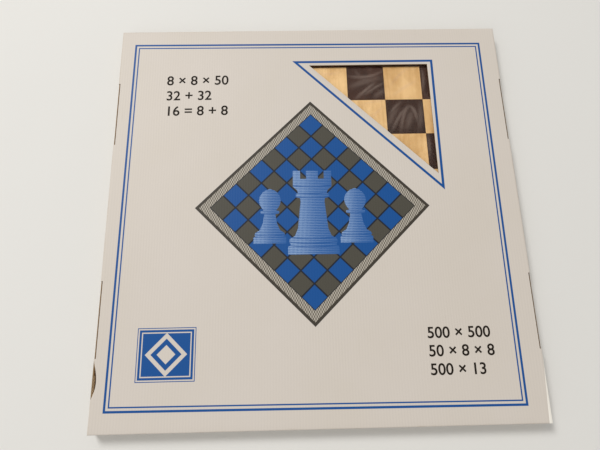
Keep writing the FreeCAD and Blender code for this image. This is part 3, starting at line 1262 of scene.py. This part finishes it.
@dataclass
class Carton:
    """The folded carton: a printed front with a window, walls, flaps and a hinged back.

    All sizes are in millimetres, and the angle that counts as sharp is in degrees.
    """

    effects: Effects
    sharp: float = 40.0
    card: float = 1.5
    window: tuple[Point, ...] = ((-1.7, 199.9), (158.6, 199.9), (158.6, 41.6))
    window_edge: float = 0.25
    window_cells: float = 1.5
    window_close: float = 0.02
    notch_in: float = 253.3
    notch_near: float = 87.4
    notch_far: float = 175.4
    notch_cut: float = 12.0
    # Painted shade for the raw edges that lie in the notches.
    notch_dusk: Colour = paint(58, 41, 28)
    grid: int = 64
    fold: float = 1.35
    fold_steps: int = 4
    edge_steps: int = 2
    split_middle: float = -198.0
    split_half: float = 22.0
    split_deep: float = 4.7
    split_skew: float = 0.3
    split_power: float = 1.2
    split_fade: Point = (2.0, 14.0)
    soft_from: float = -174.0
    soft_reach: float = 4.4
    soft_deep: float = 1.2
    fine_rows: int = 16
    fine_insets: tuple[float, ...] = (2.4, 4.4, 6.5, 9.0, 12.0)
    fine_margin: Point = (4.0, 8.0)
    sag_rim: Point = (12.0, 60.0)
    cockle: Point = (0.16, 0.1)
    cockle_long: Point = (58.0, 71.0)
    cockle_turn: Point = (0.8, -0.4)
    droop: float = 0.28
    droop_wide: float = 26.0
    droop_long: float = 190.0
    droop_off: float = 42.6
    inner_wall: float = 253.65
    inner_bend: Point = (185.4, 193.4)
    cap_share: float = 0.729
    ink_half: float = 0.015
    ink_lift: float = 0.02
    ink_bold: float = 0.28
    ink_weld: float = 0.001
    blocks: tuple[Numerals, ...] = (
        Numerals("numerals_upper", "8 × 8 × 50\n32 + 32\n16 = 8 + 8", (-192.0, 172.4), 14.0, 22.4),
        Numerals("numerals_lower", "500 × 500\n50 × 8 × 8\n500 × 13", (124.8, -160.8), 13.0, 20.3),
    )
    leaves: dict[str, tuple[Facing, Axis]] = field(
        default_factory=lambda: {
            "back_panel": (Facing.DOWN, Axis.X),
            "tuck_flap": (Facing.FRONT, Axis.X),
            "upper_wall": (Facing.BACK, Axis.X),
            "lower_wall": (Facing.FRONT, Axis.X),
            "left_outer_wall": (Facing.LEFT, Axis.Z),
            "right_outer_wall": (Facing.RIGHT, Axis.Z),
            "left_roll_spine": (Facing.DOWN, Axis.X),
            "right_roll_spine": (Facing.DOWN, Axis.X),
            "left_inner_wall": (Facing.RIGHT, Axis.Z),
            "right_inner_wall": (Facing.LEFT, Axis.Z),
            "upper_left_corner_flap": (Facing.LEFT, Axis.Y),
            "upper_right_corner_flap": (Facing.RIGHT, Axis.Y),
            "lower_left_corner_flap": (Facing.LEFT, Axis.Y),
            "lower_right_corner_flap": (Facing.RIGHT, Axis.Y),
        }
    )

    def dress_leaves(self, nodes: dict[str, Piece]) -> None:
        """Give every leaf of card but the front its own finish.

        Args:
            nodes: The solids of the part, by name.
        """
        for name, (white, across) in self.leaves.items():
            low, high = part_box(name)
            axis = white.axis.value
            middle = (low[axis] + high[axis]) / 2 / MM
            finish = CardFinish(self.effects, white, across, middle)
            if name.endswith("inner_wall"):
                middle = math.copysign(self.inner_wall, middle)
                bend = (*self.inner_bend, self.card)
                finish = CardFinish(self.effects, white, across, middle, bend=bend, dusk=self.notch_dusk)
            dress(nodes[name], finish.build(f"{name}_card"))
            LOG.info("dressed %s", name)

    def past_window(self, point: Vector, margin: float = 0.0) -> float:
        """How far a point lies outside the window.

        Args:
            point: The point, in metres.
            margin: How much larger the window is taken to be, in millimetres.

        Returns:
            The distance in millimetres, below nothing inside.
        """
        place = Vector(point.xy) / MM
        return max(out.dot(place - start) for start, out in sides_of(self.window)) - margin

    def cut_window(self, blank: Piece) -> None:
        """Cut the window's three sides and take out what is inside them.

        Args:
            blank: The panel.
        """
        cell = 2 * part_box("front_panel")[1].x / MM / self.grid
        margin = self.window_cells * cell
        for start, out in sides_of(self.window):
            cut(
                blank,
                lambda centre: self.past_window(centre, margin) < 0,
                start.to_3d() * MM,
                out.to_3d(),
            )
        take_out(blank, lambda centre: self.past_window(centre) < 0)

    def cut_notches(self, blank: Piece) -> None:
        """Cut the notches that the side walls' lock tabs come up through.

        Args:
            blank: The panel.
        """
        near_side = (self.notch_in - self.notch_cut) * MM
        rows = [way * reach for reach in (self.notch_near, self.notch_far) for way in (-1, 1)]
        for sign in (-1, 1):
            planes = [(ALONG_X * (sign * self.notch_in * MM), ALONG_X)]
            planes += [(ALONG_Y * (row * MM), ALONG_Y) for row in rows]
            for through, normal in planes:
                cut(blank, lambda centre: centre.x * sign > near_side, through, normal)
        take_out(
            blank,
            lambda centre: abs(centre.x) > self.notch_in * MM
            and self.notch_near * MM < abs(centre.y) < self.notch_far * MM,
        )

    def cut_rows(self, blank: Piece, sign: int, start: float, end: float) -> None:
        """Cut finer rows and columns along a stretch of one side, so that it can bend.

        Args:
            blank: The panel.
            sign: Which side, -1 for the left and 1 for the right.
            start: Where the stretch starts, along Y.
            end: Where it ends.
        """
        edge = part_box("front_panel")[1].x / MM
        inner = edge - self.fine_insets[-1] - self.fine_margin[0]
        beyond = self.fine_margin[1]
        rows = np.linspace(start, end, self.fine_rows)
        planes = [(ALONG_Y * (row * MM), ALONG_Y) for row in rows]
        planes += [(ALONG_X * (sign * (edge - inset) * MM), ALONG_X) for inset in self.fine_insets]
        for through, normal in planes:
            cut(
                blank,
                lambda centre: centre.x * sign > inner * MM
                and start - beyond < centre.y / MM < end + beyond,
                through,
                normal,
            )

    def sag(self, points: np.ndarray) -> np.ndarray:
        """How far the front has sunk between its folds, in millimetres.

        Args:
            points: Rows of x, y and z, in metres.

        Returns:
            The depth at each point.
        """
        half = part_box("front_panel")[1] / MM
        x, y = points[:, 0] / MM, points[:, 1] / MM
        rim = np.minimum(half.x - np.abs(x), half.y - np.abs(y))
        waves = [
            np.sin(value / long + turn)
            for value, long, turn in zip((x, y), self.cockle_long, self.cockle_turn)
        ]
        cockle = self.cockle[0] + self.cockle[1] * waves[0] * waves[1]
        slant = (x + y - sum(self.window[0])) / math.sqrt(2)
        droop = self.droop * np.exp(-((slant / self.droop_wide) ** 2))
        droop = droop * np.exp(-(((x - y + self.droop_off) / self.droop_long) ** 2))
        return eased(rim, *self.sag_rim) * (cockle + droop)

    def front(self) -> Piece:
        """Model the printed front panel.

        Returns:
            The front, which stands for the plain panel.
        """
        low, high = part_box("front_panel")
        blank = lay_grid("front_card", low, high, high.z, self.grid)
        with editing(blank):
            self.cut_window(blank)
            self.cut_notches(blank)
            self.cut_rows(blank, -1, self.split_middle - self.split_half, self.split_middle + self.split_half)
            self.cut_rows(blank, 1, low.y / MM + 2 * self.fold, self.soft_from)
        finish_with(blank, "SOLIDIFY", thickness=self.card * MM, offset=-1.0)
        close = 1e-5

        def on_rim(end: Vector) -> bool:
            """Whether an edge's end is on the top of the outer fold."""
            side = min(high.x - abs(end.x), high.y - abs(end.y))
            return high.z - end.z < close and side < close

        def on_window(end: Vector) -> bool:
            """Whether an edge's end is on the top of the window's cut."""
            return high.z - end.z < close and abs(self.past_window(end)) < self.window_close

        with editing(blank):
            pick(blank, Part.EDGE, on_rim)
            bpy.ops.mesh.bevel(offset=self.fold * MM, segments=self.fold_steps, affect="EDGES")
            pick(blank, Part.EDGE, on_window)
            bpy.ops.mesh.bevel(offset=self.window_edge * MM, segments=self.edge_steps, affect="EDGES")
        self.shape(blank, low, high)
        smooth(blank, self.sharp)
        middle = (low.z + high.z) / 2 / MM
        half = (high.x / MM, high.y / MM)
        # Where the painted highlight on the soft corner's lip goes.
        lit_lip = (self.soft_from, self.soft_reach)
        finish = CardFinish(self.effects, Facing.UP, Axis.X, middle, half, lit_lip)
        dress(blank, finish.build("front_card"))
        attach(blank, "cover")
        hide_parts("front_panel")
        return blank

    def shape(self, blank: Piece, low: Vector, high: Vector) -> None:
        """Let the panel sink a little, push in the fold where it has split, and soften one corner.

        Args:
            blank: The panel.
            low: The panel's lowest corner.
            high: Its highest corner.
        """
        points = points_of(blank)
        points[:, 2] -= self.sag(points) * MM
        off = np.clip((points[:, 1] / MM - self.split_middle) / self.split_half, -1, 1)
        lens = self.split_deep * (1 - off**2) ** self.split_power * (1 - self.split_skew * off)
        near = 1 - eased((points[:, 0] - low.x) / MM, *self.split_fade)
        points[:, 0] += lens * near * MM
        down = (self.soft_from - points[:, 1] / MM) / (self.soft_from + high.y / MM)
        reach = self.soft_reach * np.clip(down, 0, 1)
        rim = np.clip((reach - (high.x - points[:, 0]) / MM) / self.soft_reach, 0, 1)
        share = np.clip((points[:, 2] - low.z) / (high.z - low.z), 0, 1)
        points[:, 2] -= self.soft_deep * rim * share * MM
        move_points(blank, points)

    def numerals(self, block: Numerals) -> Piece:
        """Print rows of plain numerals on the front.

        Args:
            block: The numerals and their place.

        Returns:
            The numerals, as a thin layer of ink.
        """
        size = block.cap / self.cap_share
        place = (block.start[0] * MM, block.start[1] * MM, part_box("front_panel")[1].z)
        bpy.ops.object.select_all(action="DESELECT")
        bpy.ops.object.text_add(location=place)
        text = bpy.context.object
        text.name = block.name
        text.data.body = block.rows
        text.data.size = size * MM
        text.data.space_line = block.pitch / size
        text.data.extrude = self.ink_half * MM
        text.data.offset = self.ink_bold * MM
        bpy.ops.object.convert(target="MESH")
        piece = bpy.context.object
        settle(piece)
        finish_with(piece, "WELD", merge_threshold=self.ink_weld * MM)
        points = points_of(piece)
        points[:, 2] += (self.ink_lift - self.sag(points)) * MM
        move_points(piece, points)
        dress(piece, InkFinish().build(f"{block.name}_ink"))
        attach(piece, "cover")
        return piece


# The board


@dataclass
class Board:
    """The wooden board: two kinds of veneer squares, borders, edge bands and a core.

    The corner of the squares is in millimetres.
    """

    effects: Effects
    corner: Point = (-1.0, -0.9)
    light: tuple[Colour, ...] = (paint(250, 212, 154), paint(192, 146, 86), paint(156, 112, 64))
    dark: tuple[Colour, ...] = (paint(66, 37, 24), paint(27, 14, 9), paint(18, 10, 7))

    def veneer(self, name: str, tones: tuple[Colour, ...], along: Axis, squares: bool) -> Material:
        """Build one veneer.

        Args:
            name: The veneer's name.
            tones: The wood between its bands, in its bands and in its pores.
            along: The axis that its grain runs along.
            squares: Whether it is laid as squares.

        Returns:
            The material.
        """
        corner = self.corner if squares else None
        return VeneerFinish(self.effects, *tones, along, corner).build(f"{name}_veneer")

    def dress(self, nodes: dict[str, Piece]) -> None:
        """Give the board's solids their woods.

        Args:
            nodes: The solids of the part, by name.
        """
        woods = {
            "light_squares": self.veneer("light_squares", self.light, Axis.Y, True),
            "dark_squares": self.veneer("dark_squares", self.dark, Axis.Y, True),
            "board_core": CoreFinish().build("pressed_fibre"),
        }
        level = self.veneer("level_dark", self.dark, Axis.X, False)
        upright = self.veneer("upright_dark", self.dark, Axis.Y, False)
        for wood, sides in ((level, ("upper", "lower")), (upright, ("left", "right"))):
            for side in sides:
                woods[f"border_{side}"] = woods[f"edge_band_{side}"] = wood
        woods["back_veneer"] = upright
        for name, material in woods.items():
            dress(nodes[name], material)
            LOG.info("dressed %s", name)


@dataclass(frozen=True)
class Crease:
    """One crease of the film: a bent line with a width and a height, in millimetres."""

    STEPS = 40
    TIP = 0.03
    FADE = 0.7

    start: Point
    bend: Point
    end: Point
    width: float
    height: float

    def strength(self, points: np.ndarray) -> np.ndarray:
        """How much of the crease there is at each point.

        Args:
            points: Rows of x and y.

        Returns:
            A share from 0 to 1 for each point.
        """
        steps = np.linspace(0, 1, self.STEPS)[:, None]
        line = (1 - steps) ** 2 * np.array(self.start) + 2 * steps * (1 - steps) * np.array(self.bend)
        line = line + steps**2 * np.array(self.end)
        best = np.zeros(len(points))
        for step, place in zip(steps[:, 0], line):
            fade = math.sin(math.pi * min(max(step, self.TIP), 1 - self.TIP)) ** self.FADE
            away = ((points - place) ** 2).sum(1)
            best = np.maximum(best, fade * np.exp(-away / self.width**2))
        return best


@dataclass
class Wrap:
    """The clear film round the board, in two halves that meet half way down its edge.

    All sizes are in millimetres, the strays' turns are in radians, and the angle that counts as sharp is
    in degrees. Pairs for a stray are the ends of a range, or a mean and a spread for its turn and its bow.
    """

    sharp: float = 50.0
    film: float = 0.04
    clear_of_wood: float = 0.03
    cells: int = 96
    seen: tuple[float, float, float, float] = (-8.0, 34.0, 166.0, 206.0)
    seen_cuts: int = 3
    seed: int = 64
    strays: int = 70
    stray_start: Point = (-244.0, 242.0)
    stray_end: Point = (-246.0, 244.0)
    stray_turn: Point = (0.8, 0.55)
    stray_long: Point = (18.0, 60.0)
    stray_bow: Point = (0.0, 6.0)
    stray_wide: Point = (1.8, 3.2)
    stray_tall: Point = (0.3, 0.8)
    # Strength of the crease haze, partly milkiness and partly painted reflection.
    haze_and_sheen: Point = (0.35, 0.65)
    creases: list[Crease] = field(
        default_factory=lambda: [
            Crease((51, 186), (76, 178), (98, 193), 2.6, 0.7),
            Crease((58, 150), (76, 166), (88, 176), 2.4, 0.8),
            Crease((70, 155), (86, 168), (99, 175), 2.0, 0.6),
            Crease((60, 196), (66, 182), (80, 170), 1.8, 0.4),
            Crease((110, 155), (128, 170), (143, 177), 2.4, 0.5),
            Crease((106, 168), (118, 186), (134, 197), 2.0, 0.4),
            Crease((116, 100), (122, 136), (131, 140), 2.6, 0.8),
            Crease((129, 140), (139, 136), (139, 114), 2.4, 0.8),
            Crease((104, 102), (114, 124), (127, 138), 2.4, 0.7),
            Crease((102, 126), (110, 138), (120, 146), 2.2, 0.5),
            Crease((68, 142), (84, 148), (99, 147), 2.0, 0.4),
            Crease((78, 120), (88, 134), (98, 140), 1.8, 0.4),
            Crease((150, 64), (153, 80), (151, 98), 2.0, 0.5),
            Crease((150, 160), (154, 176), (152, 196), 1.8, 0.5),
            Crease((8, 192), (24, 186), (44, 192), 2.0, 0.4),
            Crease((52, 168), (66, 176), (98, 183), 4.2, 0.35),
            Crease((84, 152), (92, 160), (100, 164), 3.4, 0.3),
            Crease((100, 108), (106, 128), (116, 140), 4.0, 0.3),
            Crease((124, 104), (130, 122), (133, 132), 4.4, 0.35),
            Crease((140, 104), (146, 122), (145, 146), 3.6, 0.3),
        ]
    )

    def is_seen(self, x: float, y: float) -> bool:
        """Whether a place lies under the window, where the creases are set one by one."""
        left, bottom, right, top = self.seen
        return left < x < right and bottom < y < top

    def all_creases(self) -> list[Crease]:
        """Set the creases seen through the window, and seeded ones over the rest.

        Returns:
            All the creases.
        """
        draw = np.random.default_rng(self.seed)
        found = list(self.creases)
        while len(found) < len(self.creases) + self.strays:
            start = draw.uniform(*self.stray_start, 2)
            turn = draw.normal(*self.stray_turn)
            length = draw.uniform(*self.stray_long)
            way = np.array((math.cos(turn), math.sin(turn)))
            bow = np.array((-way[1], way[0])) * draw.normal(*self.stray_bow)
            end = np.clip(start + way * length, *self.stray_end)
            width = draw.uniform(*self.stray_wide)
            height = draw.uniform(*self.stray_tall)
            if self.is_seen(*start):
                continue
            bend = (start + end) / 2 + bow
            found.append(Crease(tuple(start), tuple(bend), tuple(end), width, height))
        return found

    def half(self, node: str, lies_up: bool) -> Piece:
        """Model one half of the film over the board's face and down to the seam.

        Args:
            node: The plain solid that it stands for.
            lies_up: Whether it is the half on the squares.

        Returns:
            The film.
        """
        low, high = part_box(node)
        face = "light_squares" if lies_up else "back_veneer"
        wood_low, wood_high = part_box(face)
        gap = (self.clear_of_wood + self.film) * MM
        level = wood_high.z + gap if lies_up else wood_low.z - gap
        seam = low.z if lies_up else high.z
        sheet = lay_grid(node.replace("film_", "wrap_"), low, high, level, self.cells)
        close = 1e-6

        def on_rim(end: Vector) -> bool:
            """Whether an edge's end is on the sheet's rim."""
            return min(end.x - low.x, high.x - end.x, end.y - low.y, high.y - end.y) < close

        with editing(sheet):
            if lies_up:
                pick(sheet, Part.FACE, lambda centre: self.is_seen(centre.x / MM, centre.y / MM))
                bpy.ops.mesh.subdivide(number_cuts=self.seen_cuts)
            pick(sheet, Part.EDGE, on_rim)
            bpy.ops.mesh.extrude_region_move(TRANSFORM_OT_translate={"value": (0, 0, seam - level)})
            bpy.ops.mesh.select_all(action="SELECT")
            bpy.ops.mesh.normals_make_consistent(inside=False)
        self.crumple(sheet, level, lies_up)
        finish_with(sheet, "SOLIDIFY", thickness=self.film * MM, offset=-1.0)
        smooth(sheet, self.sharp)
        dress(sheet, FilmFinish().build(f"{sheet.name}_film"))
        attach(sheet, "board")
        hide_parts(node)
        return sheet

    def crumple(self, sheet: Piece, level: float, lies_up: bool) -> None:
        """Raise the creases and note where they are for the film's finish.

        Args:
            sheet: The film, still without thickness.
            level: How high its face lies.
            lies_up: Whether it is the half on the squares, with room above it.
        """
        points = points_of(sheet)
        flat = points[:, :2] / MM
        on_face = np.abs(points[:, 2] - level) < 0.01 * MM
        rise, haze_and_sheen = np.zeros(len(points)), np.zeros(len(points))
        for crease in self.all_creases():
            share = crease.strength(flat)
            rise = np.maximum(rise, share * crease.height)
            haze_and_sheen = np.maximum(haze_and_sheen, share * (self.haze_and_sheen[0] + self.haze_and_sheen[1] * crease.height))
        if lies_up:
            points[on_face, 2] += rise[on_face] * MM
            move_points(sheet, points)
        # The crease mark drives the film's haze, partly milkiness and partly painted reflection.
        mark = sheet.data.attributes.new(CREASE, "FLOAT", "POINT")
        mark.data.foreach_set("value", np.where(on_face, haze_and_sheen, 0.0).astype(np.float32))


# The studio


@dataclass(frozen=True)
class Lamp:
    """A square soft lamp: its name, place and side in metres, and its power in watts."""

    name: str
    place: Place
    side: float
    watts: float

    def hang(self) -> None:
        """Hang the lamp so that it shines at the board's middle."""
        light = bpy.data.lights.new(self.name, "AREA")
        light.shape = "SQUARE"
        light.size = self.side
        light.energy = self.watts
        lamp = bpy.data.objects.new(self.name, light)
        lamp.location = self.place
        lamp.rotation_mode = "QUATERNION"
        lamp.rotation_quaternion = (-Vector(self.place)).to_track_quat("-Z", "Y")
        bpy.context.scene.collection.objects.link(lamp)


@dataclass
class Studio:
    """A pale floor, soft lights and the camera.

    Sizes are in metres, the lens and its sensor are in millimetres, and the roll is in degrees.
    """

    lens: float = 27.06
    sensor: float = 36.0
    nearest: float = 0.01
    place: Place = (-0.0282, -0.1649, 0.5535)
    aim: Place = (-0.0190, -0.0232, 0.0191)
    roll: float = 2.53
    floor_side: float = 8.0
    floor_drop: float = -0.0001
    floor_lap: float = 0.002
    floor_paint: Colour = paint(222, 220, 215)
    floor_cloud: Colour = paint(200, 197, 191)
    floor_clouds: Noise = Noise(0.004, 3.0)
    sky: Colour = (1.0, 0.99, 0.97, 1.0)
    sky_strength: float = 0.48
    lamps: tuple[Lamp, ...] = (
        Lamp("key_lamp", (-1.9, 2.2, 3.6), 1.5, 130.0),
        Lamp("fill_lamp", (-1.8, -3.2, 3.0), 3.2, 34.0),
    )

    def floor(self) -> None:
        """Lay the floor, which shows and stops light only from above."""
        bpy.ops.object.select_all(action="DESELECT")
        bpy.ops.mesh.primitive_plane_add(size=self.floor_side, location=(0, 0, self.floor_drop))
        floor = bpy.context.object
        floor.name = "studio_floor"
        self.open_floor(floor)
        finish = Finish("studio_floor_paint")
        g = finish.graph
        cloud = g.noise(finish.place, self.floor_clouds)
        finish.set(
            Base_Color=g.over(self.floor_paint, cloud, self.floor_cloud, strength=0.12),
            Roughness=g.scaled(cloud, 0.1, 0.75),
        )
        under = g.node("ShaderNodeNewGeometry").outputs["Backfacing"]
        clear = g.node("ShaderNodeBsdfTransparent").outputs[0]
        one_sided = g.node("ShaderNodeMixShader", {0: under, 1: finish.shader.outputs[0], 2: clear})
        g.feed(finish.output.inputs["Surface"], one_sided.outputs[0])
        dress(floor, finish.material)

    def open_floor(self, floor: Piece) -> None:
        """Open the floor under the carton, so that its underside gets light when it is seen from below.

        Args:
            floor: The floor.
        """
        low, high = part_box("back_panel")
        lap = Vector((self.floor_lap, self.floor_lap, 0))
        with editing(floor):
            for corner in (low + lap, high - lap):
                for normal in (ALONG_X, ALONG_Y):
                    cut(floor, lambda centre: True, corner, normal)
            take_out(floor, lambda centre: low.x < centre.x < high.x and low.y < centre.y < high.y)

    def light(self) -> None:
        """Set up the sky and hang the lamps."""
        world = bpy.data.worlds.new("studio_sky")
        world.use_nodes = True
        sky = world.node_tree.nodes["Background"]
        sky.inputs["Color"].default_value = self.sky
        sky.inputs["Strength"].default_value = self.sky_strength
        bpy.context.scene.world = world
        for lamp in self.lamps:
            lamp.hang()

    def camera(self) -> None:
        """Stand the camera where the photograph was taken from."""
        view = bpy.data.objects.new("camera", bpy.data.cameras.new("camera"))
        view.data.lens = self.lens
        view.data.sensor_width = self.sensor
        view.data.clip_start = self.nearest
        view.location = self.place
        view.rotation_mode = "QUATERNION"
        aim = (Vector(self.aim) - Vector(self.place)).to_track_quat("-Z", "Y")
        view.rotation_quaternion = aim @ Quaternion((0, 0, 1), math.radians(self.roll))
        bpy.context.scene.collection.objects.link(view)
        bpy.context.scene.camera = view

    def build(self) -> None:
        """Set up the whole studio."""
        bpy.context.scene.view_settings.view_transform = "Standard"
        self.floor()
        self.light()
        self.camera()


def main() -> None:
    """Build the carton, the board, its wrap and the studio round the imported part."""
    logging.basicConfig(level=logging.INFO, format="%(message)s")
    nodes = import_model()["nodes"]
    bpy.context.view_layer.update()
    effects = Effects.build()
    carton = Carton(effects)
    carton.dress_leaves(nodes)
    LOG.info("built %s", carton.front().name)
    for block in carton.blocks:
        LOG.info("built %s", carton.numerals(block).name)
    Board(effects).dress(nodes)
    wrap = Wrap()
    for node, lies_up in (("film_front", True), ("film_back", False)):
        LOG.info("built %s", wrap.half(node, lies_up).name)
    Studio().build()


if __name__ == "__main__":
    main()
